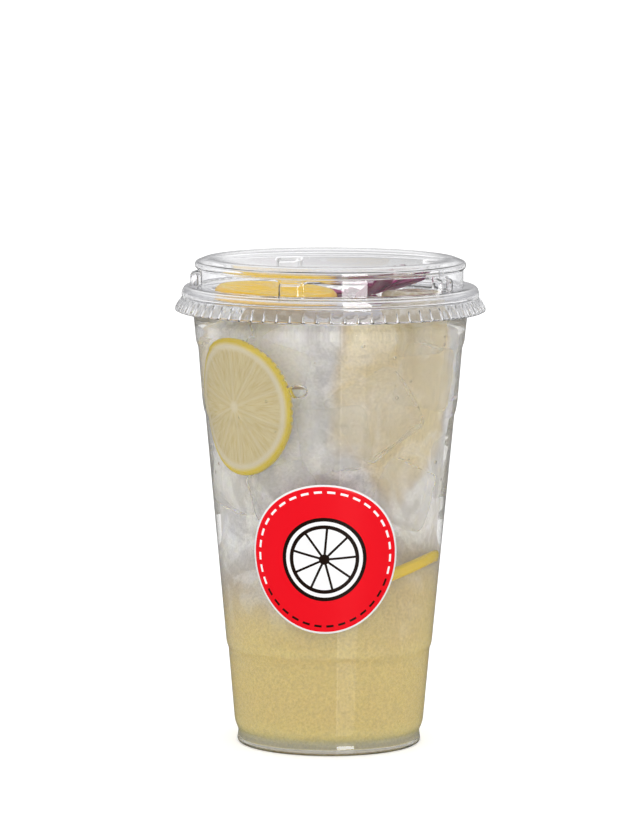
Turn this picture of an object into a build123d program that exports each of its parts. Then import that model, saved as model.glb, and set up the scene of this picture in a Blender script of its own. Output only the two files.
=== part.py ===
"""Iced lemonade in a clear takeaway cup, shut with a low lid.

The cup and the lid are thin formed sheets turned about the Z axis. The drink
fills the cup up to its level. Ice, a lemon slice and an orchid stand out of it
under the lid, and a round sticker is wrapped on the front of the wall.
Millimetres, +Z up, the front is -Y, and the origin is the middle of the foot.
"""
import os
from math import cos, hypot, radians, sin

from build123d import *

os.makedirs("parts", exist_ok=True)

# --- cup -------------------------------------------------------------------
cup_wall = 0.8              # thickness of the formed sheet
cup_height = 155.4          # foot to the top of the rolled rim
rim_r = 49.6                # outside of the rolled rim
roll_r = 1.6                # outer radius of the roll's own section
roll_turn = 250             # how far the sheet curls, degrees
foot_r = 31.4               # outside of the foot ring
foot_ring_width = 2.8       # width of the foot ring, both walls included
foot_lean = 0.6             # how far the ring's inner wall leans in
floor_height = 4.2          # the floor's underside above the table
foot_round = 0.6            # rounding of the ring's two lower edges

# Side wall of the cup from the foot up: outer radius and height.
groove_r, groove_z = 30.9, 4.1
step_z = 7.2
wall_start_r = 32.2
low_ledge_r, low_ledge_z = 34.4, 32.9
low_ledge_out, low_ledge_rise = 0.7, 1.7
high_ledge_r, high_ledge_z = 42.3, 113.1
high_ledge_out, high_ledge_rise = 1.0, 3.8
ridge_r, ridge_z = 44.8, 135.7
ridge_out, ridge_rise = 0.7, 1.7

# --- lid -------------------------------------------------------------------
lid_wall = 0.7              # thickness of the lid's sheet
lid_seat_gap = 0.2          # from the rim's top up to the lid
lid_rim_gap = 0.25          # round the outside of the rolled rim
skirt_out = 3.1             # the skirt's lower edge stands out from the rim
skirt_drop = 7.7            # the skirt's edge below the top of the rim
snap_in = 0.35              # how far the skirt draws in under the roll
bead_round = 1.3            # rounding of the bead that covers the rim
dome_inset = 4.6            # from the rim's outside in to the standing wall's
dome_height = 9.6           # the lid's highest ring above the bead
shoulder_out = 0.9          # how far the shoulder stands out from the wall
shoulder_drop = 3.9         # the shoulder's start below the highest ring
crest_in = 3.0              # the highest ring, in from the standing wall
dish_rim_in = 5.6           # where the top starts to sink into the dish
dish_floor_in = 13.5        # where the dish's floor starts
dish_depth = 5.7            # the dish floor below the highest ring
well_r = 13.0               # round well in the dish, for the straw
well_floor_r = 10.8
well_depth = 2.4
well_x = 7.5
lug_count = 5               # stacking lugs round the standing wall
lug_width = 7.3
lug_out = 2.5               # how far a lug stands out from the wall
lug_height = 5.0
lug_round = 1.0
lug_first_angle = -107      # first lug, degrees from +X
rib_count = 72              # short grip ribs on the skirt
rib_width = 0.9
rib_out = 0.45
rib_length = 3.4

# --- drink and what stands out of it ----------------------------------------
fill_gap = 8.4              # the drink's level below the top of the rim
drink_gap = 0.15            # between the drink and what it touches
ice_size = 21.0
ice_height = 22.0
ice_draft = 4               # taper of a moulded cube, degrees
ice_round = 2.4
slice_r = 20.5              # lemon slice on the top
slice_thickness = 5.0
slice_round = 0.7
slice_above = 4.5           # the slice's underside above the drink
slice_angle = 216.6         # degrees from +X
slice_side_gap = 1.0        # between the slice and the lid's standing wall
slice_lean = (0.05, -0.03, 1.0)   # direction of the slice's upper face
slice_gap = 0.2             # between the slice and the cube under it
back_cube_centre = (-8.0, 23.0)
back_cube_turn = 17         # degrees about its own upright axis
back_cube_above = 4.0       # the cube's top above the drink
tall_cube_size = 17.0
tall_cube_above = 10.5
tall_cube_angle = -38       # degrees from +X
cube_side_gap = 1.0         # least gap between a cube's foot and the cup's wall

bloom_centre = (12.8, 2.6)
bloom_above = 5.5           # the heart of the bloom above the drink
bloom_lean = (-0.14, 0.0, 1.0)    # the bloom's right side is the higher one
bloom_bowl_r = 90.0         # radius of the shallow bowl the petals lie in
petal_thickness = 1.1
petal_angles = (5, 55, 103, 150, -97)
petal_length = 26.0
petal_width = 14.0
bloom_heart_r = 5.0
column_height = 3.2         # the small upright column in the heart
column_r = 2.4
stalk_r = 1.5

# --- sticker -----------------------------------------------------------------
label_r = 25.4
label_thickness = 0.25
label_gap = 0.1
label_z = 68.0              # height of the sticker's middle
label_angle = -92.7         # the middle of the sticker, degrees from +X


def polar(reach, angle, height):
    """A point at a reach from the Z axis, at an angle from +X and a height."""
    return (reach * cos(radians(angle)), reach * sin(radians(angle)), height)


def side_line(inset):
    """Side wall of the cup from the groove up to the roll, moved inwards by inset."""
    top_r = rim_r - 2 * roll_r + cup_wall
    points = [
        (groove_r, groove_z),
        (wall_start_r, step_z),
        (low_ledge_r, low_ledge_z),
        (low_ledge_r + low_ledge_out, low_ledge_z + low_ledge_rise),
        (high_ledge_r, high_ledge_z),
        (high_ledge_r + high_ledge_out, high_ledge_z + high_ledge_rise),
        (ridge_r, ridge_z),
        (ridge_r + ridge_out, ridge_z + ridge_rise),
        (top_r, cup_height - roll_r),
    ]
    return [(r - inset, z) for r, z in points]


def wall_radius(z, inset=0.0):
    """Radius of the side wall at height z, moved inwards by inset."""
    points = side_line(inset)
    for (r0, z0), (r1, z1) in zip(points, points[1:]):
        if z0 <= z <= z1:
            return r0 + (r1 - r0) * (z - z0) / (z1 - z0)
    raise ValueError("height outside the side wall")


def foot_line(inset):
    """Foot ring and floor, from the outside of the ring to the axis."""
    inner_r = foot_r - foot_ring_width
    return [
        (foot_r - inset, inset),
        (inner_r + inset, inset),
        (inner_r - foot_lean + inset, floor_height + inset),
        (0, floor_height + inset),
    ]


def ice_cube(plane, size, height, grow=0.0):
    """A moulded cube that hangs down from the plane of its top face."""
    with BuildPart() as cube:
        with BuildSketch(plane.offset(grow)):
            Rectangle(size + 2 * grow, size + 2 * grow)
        extrude(amount=-(height + 2 * grow), taper=ice_draft)
        fillet(cube.edges(), radius=ice_round)
    return cube.part


# --- cup: one formed sheet with a foot ring, ledges and a rolled rim -----------
with BuildPart() as cup:
    with BuildSketch(Plane.XZ) as cup_section:
        with BuildLine():
            outside = list(reversed(foot_line(0))) + side_line(0)
            inside = list(reversed(side_line(cup_wall))) + foot_line(cup_wall)
            Polyline(*outside, *inside, close=True)
        make_face()
        foot_corners = cup_section.vertices().group_by(Axis.Y)[0]
        fillet(foot_corners, radius=foot_round)
        with BuildLine():
            roll_middle = (rim_r - roll_r, cup_height - roll_r)
            CenterArc(roll_middle, roll_r - cup_wall / 2, 180, -roll_turn)
        trace(line_width=cup_wall)
    revolve(axis=Axis.Z)

# --- lid: skirt, bead over the rim, standing wall, shoulder and sunken dish -----
wall_half = lid_wall / 2
skirt_r = rim_r + skirt_out
dome_r = rim_r - dome_inset
crest_r = dome_r - crest_in
dish_rim_r = dome_r - dish_rim_in
dish_floor_r = dome_r - dish_floor_in
bead_top = cup_height + lid_seat_gap + lid_wall
lid_top = bead_top + dome_height
bead_r = rim_r + lid_rim_gap + lid_wall
snap_z = cup_height - 2 * roll_r
dish_floor = lid_top - dish_depth
skirt_z = cup_height - skirt_drop
shoulder_z = lid_top - shoulder_drop

with BuildPart() as lid:
    with BuildSketch(Plane.XZ):
        with BuildLine():
            FilletPolyline(
                (skirt_r - wall_half, skirt_z),
                (bead_r - snap_in - wall_half, snap_z),
                (bead_r - wall_half, bead_top - 2 * bead_round),
                (bead_r - bead_round, bead_top - wall_half),
                (dome_r - wall_half, bead_top - wall_half),
                (dome_r - wall_half, shoulder_z),
                (dome_r + shoulder_out - wall_half, shoulder_z + shoulder_out),
                (dome_r + shoulder_out - wall_half, lid_top - 2 * shoulder_out),
                (crest_r, lid_top - wall_half),
                (dish_rim_r, lid_top - 2 * wall_half),
                (dish_floor_r, dish_floor - wall_half),
                (0, dish_floor - wall_half),
                radius=[1.2, 1.0, 1.0, 0.5, 0.4, 0.4, 0.6, 1.0, 0.9, 4.0],
            )
        trace(line_width=lid_wall)
    revolve(axis=Axis.Z)

    # Lugs: hollow bumps in the standing wall, which keep stacked lids apart.
    lug_depth = lug_out + wall_half
    with BuildSketch(Plane.XY.offset(bead_top - wall_half)) as lug_plan:
        with PolarLocations(dome_r + lug_out - lug_depth / 2, lug_count, start_angle=lug_first_angle):
            Rectangle(lug_depth, lug_width)
        lug_corners = lug_plan.vertices().filter_by(lambda v: hypot(v.X, v.Y) > dome_r + wall_half)
        fillet(lug_corners, radius=lug_round)
    extrude(amount=lug_height + wall_half)
    with BuildSketch(Plane.XY.offset(bead_top)):
        pocket_middle = dome_r + lug_out - lid_wall - lug_depth / 2
        with PolarLocations(pocket_middle, lug_count, start_angle=lug_first_angle):
            Rectangle(lug_depth, lug_width - 2 * lid_wall)
    extrude(amount=lug_height - lid_wall, mode=Mode.SUBTRACT)

    # Round well in the dish floor, where the straw goes through.
    with Locations((well_x, 0, dish_floor)):
        Cone(
            well_floor_r + lid_wall,
            well_r + lid_wall,
            well_depth + lid_wall,
            align=(Align.CENTER, Align.CENTER, Align.MAX),
        )
        Cone(
            well_floor_r,
            well_r,
            well_depth,
            align=(Align.CENTER, Align.CENTER, Align.MAX),
            mode=Mode.SUBTRACT,
        )

# Grip ribs: short upright ridges on the skirt, just under the bead.
skirt_slope = (skirt_r - bead_r + snap_in) / (snap_z - skirt_z)
with BuildPart() as grip_rib:
    with BuildSketch(Plane.XZ):
        with BuildLine():
            rib_top_r = bead_r - snap_in - wall_half
            rib_foot_r = rib_top_r + rib_length * skirt_slope
            Polyline(
                (rib_top_r, snap_z),
                (rib_foot_r, snap_z - rib_length),
                (rib_foot_r + rib_out, snap_z - rib_length + rib_out),
                (rib_top_r + wall_half + rib_out, snap_z - rib_out),
                close=True,
            )
        make_face()
    extrude(amount=rib_width / 2, both=True)

with BuildPart() as ribbed_lid:
    add(lid.part)
    with PolarLocations(0, rib_count):
        add(grip_rib.part)

# --- ice, lemon slice and orchid under the lid ----------------------------------
drink_level = cup_height - fill_gap
room_r = dome_r - lid_wall
slice_reach = room_r - slice_side_gap - slice_r
slice_centre = polar(slice_reach, slice_angle, drink_level + slice_above)
slice_plane = Plane(origin=slice_centre, x_dir=polar(1, slice_angle, 0), z_dir=slice_lean)


def cube_reach(top_z, size):
    """Farthest that a cube's middle can stand from the axis, clear of the cup's wall."""
    foot_z = top_z - ice_height
    return wall_radius(foot_z, cup_wall) - cube_side_gap - size / 2


low_cube_reach = min(slice_reach, cube_reach(slice_centre[2], ice_size))
low_cube_plane = slice_plane.offset(-slice_gap)
low_cube_plane.origin = low_cube_plane.from_local_coords((low_cube_reach - slice_reach, 0, 0))
back_cube_plane = Plane(
    origin=(*back_cube_centre, drink_level + back_cube_above),
    x_dir=polar(1, back_cube_turn, 0),
)
tall_cube_top = drink_level + tall_cube_above
tall_cube_plane = Plane(
    origin=polar(cube_reach(tall_cube_top, tall_cube_size), tall_cube_angle, tall_cube_top),
    x_dir=polar(1, tall_cube_angle, 0),
)
cubes = {
    "ice_low": (low_cube_plane, ice_size, ice_height),
    "ice_back": (back_cube_plane, ice_size, ice_height),
    "ice_tall": (tall_cube_plane, tall_cube_size, ice_height),
}

with BuildPart(slice_plane) as lemon_slice:
    Cylinder(slice_r, slice_thickness, align=(Align.CENTER, Align.CENTER, Align.MIN))
    fillet(lemon_slice.edges(), radius=slice_round)

bloom_z = drink_level + bloom_above
bloom_plane = Plane(origin=(*bloom_centre, bloom_z), z_dir=bloom_lean)
with BuildPart() as orchid:
    # The petals' outline, cut from a shallow bowl of even thickness.
    with BuildSketch(bloom_plane):
        Circle(bloom_heart_r)
        for angle in petal_angles:
            with PolarLocations(petal_length / 2, 1, start_angle=angle):
                Ellipse(petal_length / 2, petal_width / 2)
    extrude(amount=petal_length)
    with Locations(bloom_plane.offset(bloom_bowl_r)):
        Sphere(bloom_bowl_r, mode=Mode.INTERSECT)
        Sphere(bloom_bowl_r - petal_thickness, mode=Mode.SUBTRACT)
    with Locations(bloom_plane.offset(petal_thickness / 2)):
        Cone(
            column_r,
            column_r / 2,
            column_height,
            align=(Align.CENTER, Align.CENTER, Align.MIN),
        )
    # The cut stalk stands on the drink.
    stalk_foot = drink_level + drink_gap
    with Locations((*bloom_centre, stalk_foot)):
        Cylinder(
            stalk_r,
            bloom_z + petal_thickness / 2 - stalk_foot,
            align=(Align.CENTER, Align.CENTER, Align.MIN),
        )

# --- drink: fills the cup to its level, cut round the ice -----------------------
hollows = [ice_cube(*cube, grow=drink_gap) for cube in cubes.values()]
with BuildPart() as drink:
    with BuildSketch(Plane.XZ):
        with BuildLine():
            skin = cup_wall + drink_gap
            surface_r = wall_radius(drink_level, skin)
            wetted = [(r, z) for r, z in side_line(skin) if z < drink_level]
            Polyline(
                (0, drink_level),
                (surface_r, drink_level),
                *reversed(wetted),
                *foot_line(skin),
                close=True,
            )
        make_face()
    revolve(axis=Axis.Z)
    for hollow in hollows:
        add(hollow, mode=Mode.SUBTRACT)

# --- sticker: a thin disc wrapped on the front of the wall ----------------------
wrap_r = wall_radius(label_z)
half_chord = wrap_r * sin(label_r / wrap_r)
label_plane = Plane(
    origin=(0, 0, label_z),
    x_dir=polar(1, label_angle + 90, 0),
    z_dir=polar(1, label_angle, 0),
)
with BuildPart() as label:
    with BuildSketch(Plane.XZ):
        with BuildLine():
            low_z, high_z = label_z - label_r, label_z + label_r
            inner, outer = label_gap, label_gap + label_thickness
            Polyline(
                (wall_radius(low_z) + inner, low_z),
                (wall_radius(low_z) + outer, low_z),
                (wall_radius(high_z) + outer, high_z),
                (wall_radius(high_z) + inner, high_z),
                close=True,
            )
        make_face()
    revolve(axis=Axis.Z)
    with BuildSketch(label_plane):
        Ellipse(half_chord, label_r)
    extrude(amount=2 * wrap_r, mode=Mode.INTERSECT)

# --- output ----------------------------------------------------------------------
cup.part.label = "cup"
export_step(cup.part, "parts/cup.step")
ribbed_lid.part.label = "lid"
export_step(ribbed_lid.part, "parts/lid.step")
drink.part.label = "drink"
export_step(drink.part, "parts/drink.step")
label.part.label = "label"
export_step(label.part, "parts/label.step")
lemon_slice.part.label = "lemon_slice"
export_step(lemon_slice.part, "parts/lemon_slice.step")
orchid.part.label = "orchid"
export_step(orchid.part, "parts/orchid.step")
for name, cube in cubes.items():
    block = ice_cube(*cube)
    block.label = name
    export_step(block, f"parts/{name}.step")

print(f"lid top {lid_top:.1f}, drink {drink.part.volume / 1000:.0f} ml")
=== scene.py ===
# %% [markdown]
# # Iced lemonade in a clear takeaway cup
#
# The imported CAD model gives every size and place. This script adds what CAD leaves
# out: the clear formed sheet, the cloudy drink with ice and lemon sunk in it, the
# printed sticker, the petals, and the studio round them. Blender works in metres, so
# sizes that are written in millimetres are multiplied by MM. +Z is up and the front
# is -Y.

# %% Start
import math
import random

import bmesh
import bpy
from mathutils import Euler, Matrix, Vector, noise


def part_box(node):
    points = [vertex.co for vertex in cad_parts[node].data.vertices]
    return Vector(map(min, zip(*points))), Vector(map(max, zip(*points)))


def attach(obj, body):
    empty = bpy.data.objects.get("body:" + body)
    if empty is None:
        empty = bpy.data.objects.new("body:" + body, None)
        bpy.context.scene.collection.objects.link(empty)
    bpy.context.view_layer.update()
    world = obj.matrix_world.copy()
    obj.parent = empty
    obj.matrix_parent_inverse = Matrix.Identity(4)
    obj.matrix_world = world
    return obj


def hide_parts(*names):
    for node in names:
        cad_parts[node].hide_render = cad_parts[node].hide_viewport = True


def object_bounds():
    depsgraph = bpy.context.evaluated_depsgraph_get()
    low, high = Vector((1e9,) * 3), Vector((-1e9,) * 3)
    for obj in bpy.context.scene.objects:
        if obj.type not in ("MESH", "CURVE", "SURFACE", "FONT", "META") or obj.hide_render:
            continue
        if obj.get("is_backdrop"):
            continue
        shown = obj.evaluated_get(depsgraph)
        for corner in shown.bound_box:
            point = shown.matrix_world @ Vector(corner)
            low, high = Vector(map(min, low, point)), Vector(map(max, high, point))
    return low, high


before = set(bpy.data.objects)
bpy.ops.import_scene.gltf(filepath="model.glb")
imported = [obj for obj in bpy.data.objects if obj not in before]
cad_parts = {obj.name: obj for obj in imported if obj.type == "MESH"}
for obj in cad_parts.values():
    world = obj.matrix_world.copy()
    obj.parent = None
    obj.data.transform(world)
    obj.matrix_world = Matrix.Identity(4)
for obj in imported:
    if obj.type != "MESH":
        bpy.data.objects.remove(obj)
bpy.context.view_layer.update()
MM = 0.001

# %% [markdown]
# ## Sizes that the pieces share
#
# The cup is one formed sheet turned about Z. Its outside is a short list of corners,
# radius and height in millimetres, from the foot ring up to the rolled rim. The rim,
# the drink's level and the places of the toppings are read from the frame, so that
# they follow the CAD model.

# %% Sizes
CUP_WALL = 0.8
CUP_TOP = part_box("cup")[1].z / MM
RIM_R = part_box("cup")[1].x / MM
ROLL_R = 1.6
ROLL_TURN = math.radians(250)
FLOOR_Z = 4.2
FOOT_R, FOOT_RING, FOOT_LEAN = 31.4, 2.8, 0.6
LEVEL_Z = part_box("drink")[1].z / MM
SURFACE = LEVEL_Z - 0.7                              # away from the wall, which the drink climbs a little
SIDE = [
    (30.9, 4.1), (32.2, 7.2),                        # out of the foot ring
    (34.4, 32.6), (34.78, 33.5), (35.1, 34.6),       # lower stacking ledge
    (42.3, 112.8), (42.75, 113.9), (43.3, 116.9),    # upper stacking ledge
    (44.8, 135.7), (45.5, 137.4),                    # ridge under the lid
    (RIM_R - 2 * ROLL_R + CUP_WALL, CUP_TOP - ROLL_R),
]


def wall_r(z):
    """Outside radius of the cup's side wall at height z, both in millimetres."""
    if z <= SIDE[0][1]:
        return FOOT_R
    for (r0, z0), (r1, z1) in zip(SIDE, SIDE[1:]):
        if z <= z1:
            return r0 + (r1 - r0) * (z - z0) / (z1 - z0)
    return SIDE[-1][0]


def on_wall(angle, z, depth=0.0):
    """The point in the side wall at an angle from +X, a height and a depth inwards, in mm."""
    r = wall_r(z) - depth
    return Vector((r * math.cos(angle), r * math.sin(angle), z)) * MM


print("rim radius", round(RIM_R, 2), "level", round(LEVEL_Z, 2))

# %% [markdown]
# ## Turning a sheet
#
# A formed cup or lid is the same all the way round, so its section is drawn once as
# a wire and spun. Vertex bevels on the wire round its corners before the spin, which
# is cheaper than bevelling every ring of edges afterwards.

# %% Mesh helpers


def wire(corners, soft):
    """A wire through corners (r, z) in mm. soft maps a corner's number to how much of it is rounded."""
    bm = bmesh.new()
    verts = [bm.verts.new((r * MM, 0, z * MM)) for r, z in corners]
    for a, b in zip(verts, verts[1:]):
        bm.edges.new((a, b))
    for number, amount in soft.items():
        bmesh.ops.bevel(
            bm, geom=[verts[number]], offset=amount * MM, offset_type="OFFSET",
            segments=max(5, round(2 * amount)), profile=0.5, affect="VERTICES", material=-1,
        )
    return bm


def split_long(bm, longest):
    """Cuts every edge longer than longest, in mm, into even pieces."""
    for edge in list(bm.edges):
        cuts = int(edge.calc_length() / (longest * MM))
        if cuts > 0:
            bmesh.ops.subdivide_edges(bm, edges=[edge], cuts=cuts)


def spin(bm, steps):
    """Spins all of bm about Z, closes it at the axis and turns its faces outwards."""
    bmesh.ops.spin(
        bm, geom=bm.verts[:] + bm.edges[:], cent=(0, 0, 0), axis=(0, 0, 1), dvec=(0, 0, 0),
        angle=2 * math.pi, steps=steps, use_merge=True, use_normal_flip=False,
        use_duplicate=False,
    )
    bmesh.ops.remove_doubles(bm, verts=bm.verts[:], dist=1e-6)
    bmesh.ops.recalc_face_normals(bm, faces=bm.faces[:])


def make_piece(bm, name, finish):
    """Writes bm to an object on the body "root", with its finish and material slot."""
    mesh = bpy.data.meshes.new(name)
    bm.to_mesh(mesh)
    bm.free()
    for face in mesh.polygons:
        face.use_smooth = True
    mesh.materials.append(finish)
    piece = bpy.data.objects.new(name, mesh)
    bpy.context.collection.objects.link(piece)
    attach(piece, "root")
    print(name, len(mesh.polygons), "faces")
    return piece


def thicken(piece, thickness, offset):
    """Gives a single surface its thickness in mm: offset -1 grows inwards, 0 both ways."""
    wall = piece.modifiers.new("wall", "SOLIDIFY")
    wall.thickness = thickness * MM
    wall.offset = offset
    wall.use_quality_normals = True


# %% [markdown]
# ## Colours and nodes
#
# A colour is written as the sRGB hex value that the eye sees, and one function turns
# it to the linear values that the shader needs. One more function adds any node,
# with its settings and its links.

# %% Material helpers


def colour(code):
    """Linear RGBA of an sRGB hex colour."""
    parts = [int(code[i:i + 2], 16) / 255 for i in (1, 3, 5)]
    return (*[p / 12.92 if p <= 0.04045 else ((p + 0.055) / 1.055) ** 2.4 for p in parts], 1.0)


def put(tree, kind, inputs=None, stops=(), **settings):
    """Adds a node. inputs gives each socket a value, a socket, or a node for its first output.

    stops are the places and colours of a colour ramp, in rising order.
    """
    node = tree.nodes.new(kind)
    for key, value in settings.items():
        setattr(node, key, value)
    for key, value in (inputs or {}).items():
        if isinstance(value, bpy.types.Node):
            value = value.outputs[0]
        if isinstance(value, bpy.types.NodeSocket):
            tree.links.new(value, node.inputs[key])
        else:
            node.inputs[key].default_value = value
    for number, (place, shade) in enumerate(stops):
        bar = node.color_ramp.elements
        element = bar[number] if number < len(bar) else bar.new(place)
        element.position = place
        element.color = shade
    return node


def new_finish(name, **sockets):
    """A Principled material with plain values on its sockets. Returns it, its tree and its shader."""
    finish = bpy.data.materials.new(name)
    finish.use_nodes = True
    shader = finish.node_tree.nodes["Principled BSDF"]
    for key, value in sockets.items():
        shader.inputs[key.replace("_", " ")].default_value = value
    return finish, finish.node_tree, shader


# %% [markdown]
# ## Clear PET sheet
#
# Cups and lids of this kind are thermoformed from amorphous PET sheet. The sheet is
# as clear as glass and very glossy, bends light more than glass does (index 1.57),
# and has faint waves where it was stretched over the tool. A faint, wide noise bump
# stands for those waves.

# %% PET
WAVE_LENGTH = 14


def pet_sheet(name, wave):
    """Clear formed PET. wave is the height of the stretch marks, in mm."""
    finish, tree, shader = new_finish(
        name, Base_Color=colour("#fdfdfe"), Roughness=0.02, IOR=1.57, Transmission_Weight=1.0,
    )
    place = put(tree, "ShaderNodeTexCoord").outputs["Object"]
    stretched = put(tree, "ShaderNodeMapping", {"Vector": place, "Scale": (1, 1, 0.25)})
    marks = put(
        tree, "ShaderNodeTexNoise", {"Vector": stretched, "Scale": 1 / (WAVE_LENGTH * MM), "Detail": 1.0},
    )
    bump = put(tree, "ShaderNodeBump", {"Height": marks, "Distance": wave * MM, "Strength": 1.0})
    tree.links.new(bump.outputs[0], shader.inputs["Normal"])
    print(name, "waves of", wave, "mm")
    return finish


cup_pet = pet_sheet("clear PET cup sheet", 0.02)
lid_pet = pet_sheet("clear PET lid sheet", 0.03)

# %% [markdown]
# ## The cup
#
# The section runs along the middle of the sheet: floor, foot ring, two stacking
# ledges, a small ridge, and the rim, which is rolled outwards so that the edge is
# stiff and smooth. A Solidify modifier then gives the sheet its thickness.

# %% Cup
ROLL_STEPS = 14
half = CUP_WALL / 2
foot_in = FOOT_R - FOOT_RING
roll_r = ROLL_R - half
roll_middle = (RIM_R - ROLL_R, CUP_TOP - ROLL_R)
cup_line = [
    (0, FLOOR_Z + half),
    (foot_in - FOOT_LEAN + half, FLOOR_Z + half),
    (foot_in + half, half),
    (FOOT_R - half, half),
]
cup_line += [(r - half, z) for r, z in SIDE]
for step in range(1, ROLL_STEPS + 1):
    turn = math.pi - ROLL_TURN * step / ROLL_STEPS
    cup_line.append((roll_middle[0] + roll_r * math.cos(turn), roll_middle[1] + roll_r * math.sin(turn)))
soft_corners = {
    1: 1.0, 2: 0.5, 3: 0.7, 4: 0.8, 5: 1.2, 6: 0.4, 7: 0.3, 8: 0.7, 9: 0.45, 10: 0.4,
    11: 1.6, 12: 0.7, 13: 0.7,
}
bm = wire(cup_line, soft_corners)
split_long(bm, longest=9)
spin(bm, steps=200)
cup = make_piece(bm, "cup_sheet", cup_pet)
thicken(cup, CUP_WALL, 0)
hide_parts("cup")

# %% [markdown]
# ## The lid
#
# The lid is spun the same way. Its five stacking lugs and the short grip ribs on the
# skirt are pushed out of the sheet after the spin, as the forming tool does, so they
# are hollow behind. Rows of vertices are drawn together at each rib, so that narrow
# ribs need no finer mesh. The round well for the straw is pressed down off centre.

# %% The lid's section
LID_WALL = 0.7
LID_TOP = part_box("lid")[1].z / MM
lid_half = LID_WALL / 2
bead_top = CUP_TOP + 0.2 + LID_WALL
bead_r = RIM_R + 0.25 + LID_WALL
skirt_r = RIM_R + 3.05
skirt_z = CUP_TOP - 7.7
snap_z = CUP_TOP - 2 * ROLL_R
dome_r = RIM_R - 4.6
dish_z = LID_TOP - 5.7
lid_line = [
    (skirt_r - lid_half, skirt_z + 0.2),
    (bead_r - 0.35 - lid_half, snap_z),
    (bead_r - lid_half, bead_top - 2.6),
    (bead_r - 1.3, bead_top - lid_half),
    (dome_r - lid_half, bead_top - lid_half),
    (dome_r - lid_half, LID_TOP - 3.9),
    (dome_r + 0.9 - lid_half, LID_TOP - 3.0),
    (dome_r + 0.9 - lid_half, LID_TOP - 1.8),
    (dome_r - 3.0, LID_TOP - lid_half),
    (dome_r - 5.6, LID_TOP - LID_WALL),
    (dome_r - 13.5, dish_z - lid_half),
    (0, dish_z - lid_half),
]
print("lid from", round(skirt_z, 1), "to", round(LID_TOP, 1), "mm")

# %% Lid
LUG_COUNT, LUG_WIDTH, LUG_OUT, LUG_HEIGHT = 5, 7.3, 2.5, 5.0
LUG_FIRST = math.radians(-107)
RIB_COUNT, RIB_OUT = 72, 0.55
WELL = Vector((7.5, 0)) * MM
WELL_R, WELL_FLOOR_R, WELL_DEPTH = 13.0, 10.8, 2.4


def ramp_up(value, start, end):
    """0 before start, 1 after end and smooth between."""
    t = min(1.0, max(0.0, (value - start) / (end - start)))
    return t * t * (3 - 2 * t)


def press_lid(v):
    """Pushes one vertex of the lid's sheet out into a lug or a rib, or down into the well."""
    r = math.hypot(v.co.x, v.co.y) / MM
    z = v.co.z / MM
    if r < 1e-3:
        return
    angle = math.atan2(v.co.y, v.co.x)
    out = 0.0
    if dome_r - 1.5 < r < dome_r + 0.2 and z < LID_TOP - 3.5:
        pitch = 2 * math.pi / LUG_COUNT
        side = abs((angle - LUG_FIRST + pitch / 2) % pitch - pitch / 2) * dome_r
        across = 1 - ramp_up(side, LUG_WIDTH / 2 - 0.5, LUG_WIDTH / 2 + 0.3)
        up = 1 - ramp_up(z, bead_top + LUG_HEIGHT - 1.2, bead_top + LUG_HEIGHT - 0.3)
        out = LUG_OUT * across * up
    elif r > bead_r - 1.2 and z < snap_z - 0.1:
        pitch = 2 * math.pi / RIB_COUNT
        phase = angle / pitch - round(angle / pitch)
        taper = 2.8 - 1.4 * ramp_up(z, snap_z - 3.9, snap_z - 0.8)
        angle += (math.copysign(abs(2 * phase) ** taper / 2, phase) - phase) * pitch
        fade = ramp_up(z, snap_z - 4.1, snap_z - 3.4) * (1 - ramp_up(z, snap_z - 0.8, snap_z))
        out = RIB_OUT * fade if abs(phase) < 0.1 else 0.0
    v.co.x = (r + out) * MM * math.cos(angle)
    v.co.y = (r + out) * MM * math.sin(angle)
    if r < dome_r - 6:
        near = (Vector(v.co.xy) - WELL).length / MM
        v.co.z -= WELL_DEPTH * MM * (1 - ramp_up(near, WELL_FLOOR_R, WELL_R))


bm = wire(lid_line, {1: 0.6, 2: 0.7, 3: 0.9, 4: 0.4, 5: 0.3, 6: 0.3, 7: 0.5, 8: 1.2, 9: 0.9, 10: 8.0})
split_long(bm, longest=0.75)
spin(bm, steps=360)
for vert in bm.verts:
    press_lid(vert)
lid = make_piece(bm, "lid_sheet", lid_pet)
thicken(lid, LID_WALL, 0)
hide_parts("lid")

# %% [markdown]
# ## The drink
#
# Cloudy lemonade is clear in a thin layer and opaque in a thick one. Two bodies give
# that cheaply: an outer body of clear, faintly yellow liquid that reaches just into
# the cup's wall, so that no air gap shows, and a cloudy body inside it. Light bends at
# the outer one, which widens the inner one until it nearly fills the cup and leaves
# the pale bands at both sides.

# %% Clear outer liquid
liquid = new_finish(
    "lemonade", Base_Color=colour("#fffefa"), Roughness=0.0, IOR=1.34, Transmission_Weight=1.0,
)[0]
into_wall = CUP_WALL * 0.6
liquid_line = [
    (0, FLOOR_Z + into_wall),
    (foot_in - FOOT_LEAN + into_wall, FLOOR_Z + into_wall),
    (foot_in + into_wall, into_wall),
    (FOOT_R - into_wall, into_wall),
]
liquid_line += [(r - into_wall, z) for r, z in SIDE if z < LEVEL_Z]
liquid_line += [
    (wall_r(LEVEL_Z) - into_wall, LEVEL_Z),
    (wall_r(LEVEL_Z) - 3.0, SURFACE),
    (0, SURFACE),
]
bm = wire(liquid_line, {2: 0.3, 3: 0.4, 5: 1.0, 6: 0.4, 7: 0.3, 8: 0.5, 9: 0.45, 10: 0.4, 11: 1.4, 15: 1.0})
split_long(bm, longest=9)
spin(bm, steps=160)
drink = make_piece(bm, "lemonade", liquid)
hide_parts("drink")
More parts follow.
